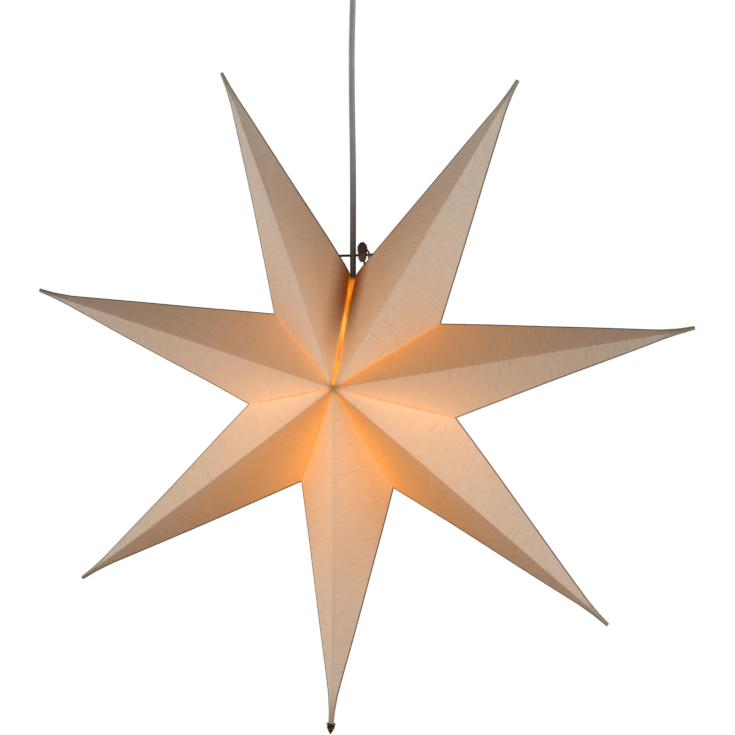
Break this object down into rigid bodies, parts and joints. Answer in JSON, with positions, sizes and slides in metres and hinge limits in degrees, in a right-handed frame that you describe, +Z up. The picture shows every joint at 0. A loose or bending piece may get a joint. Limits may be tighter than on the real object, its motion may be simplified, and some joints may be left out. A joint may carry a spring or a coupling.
{
  "type": "folding star lantern",
  "caption": "Pointed paper star lantern that hangs on a round cord from a hook under a ceiling cup, with a small screw lamp inside.",
  "frame": {"origin": "middle of the ceiling plate's top face, where it lies against the ceiling; the cord hangs down the Z axis", "axes": "+Z up out of the ceiling face; the star lies in the XZ plane with its front at -Y, as it is stored"},
  "size_m": [0.5983, 0.1582, 0.744],
  "materials": {
    "paper": "warm white laminated paper with a linen-like weave, lit from inside",
    "board": "matt brown cardboard",
    "string": "twisted dark cotton string",
    "cord": "matt grey round mains cord",
    "brass": "aged, satin",
    "steel": "zinc plated",
    "plastic": "fine grain off-white moulding",
    "cup": "satin off-white paint",
    "ceramic": "unglazed, fine",
    "glass": "frosted inside",
    "clear_glass": "clear",
    "filament": "yellow phosphor over a thin rod, lit",
    "insulator": "black vitreous"
  },
  "bodies": {
    "ceiling": {"ceiling_plate": "steel", "ceiling_hook": "steel", "terminal_block": "plastic", "terminal_block_screw_1": "steel", "terminal_block_screw_2": "steel", "terminal_block_screw_3": "steel", "terminal_block_screw_4": "steel"},
    "pendant": {"cord_hanger": "plastic", "cord_hanger_screw": "steel", "cord": "cord", "holder_cord_nut": "plastic", "holder_dome": "plastic", "holder_insert": "ceramic", "holder_screw_left": "steel", "holder_screw_right": "steel", "holder_shell": "plastic", "holder_sleeve": "brass", "holder_contact": "brass"},
    "cup": {"ceiling_cup": "cup", "cup_grip": "plastic"},
    "cup_screw": {"cup_grip_screw": "plastic"},
    "star": {"star_point_1": "paper", "star_point_2": "paper", "star_point_3": "paper", "star_point_4": "paper", "star_point_5": "paper", "star_point_6": "paper", "star_point_7": "paper", "seam_board_left": "board", "seam_board_right": "board", "tie_string": "string", "string_stop_left": "string", "string_stop_right": "string", "tie_knot": "string", "bottom_cap": "brass"},
    "lamp": {"lamp_cap": "steel", "lamp_cap_contact": "steel", "lamp_cap_insulator": "insulator", "lamp_glass": "glass", "lamp_stem": "clear_glass", "lamp_filament_1": "filament", "lamp_filament_2": "filament", "lamp_filament_3": "filament", "lamp_filament_4": "filament"}
  },
  "joints": [
    {"name": "pendant_swing", "type": "hinge", "parent": "ceiling", "child": "pendant", "pos_m": [0, 0, -0.031], "axis": [0, 1, 0], "range_deg": [-10, 10]},
    {"name": "cup_slide", "type": "slide", "parent": "pendant", "child": "cup", "axis": [0, 0, -1], "range_m": [0, 0.15]},
    {"name": "cup_screw_turn", "type": "hinge", "parent": "cup", "child": "cup_screw", "pos_m": [0, 0, -0.07175], "axis": [0, -1, 0], "range_deg": [0, 720]},
    {"name": "star_turn", "type": "hinge", "parent": "pendant", "child": "star", "pos_m": [0, 0, -0.434], "axis": [0, 0, 1], "continuous": true},
    {"name": "lamp_screw", "type": "hinge", "parent": "pendant", "child": "lamp", "pos_m": [0, 0, -0.434], "axis": [0, 0, -1], "range_deg": [0, 1440]}
  ]
}
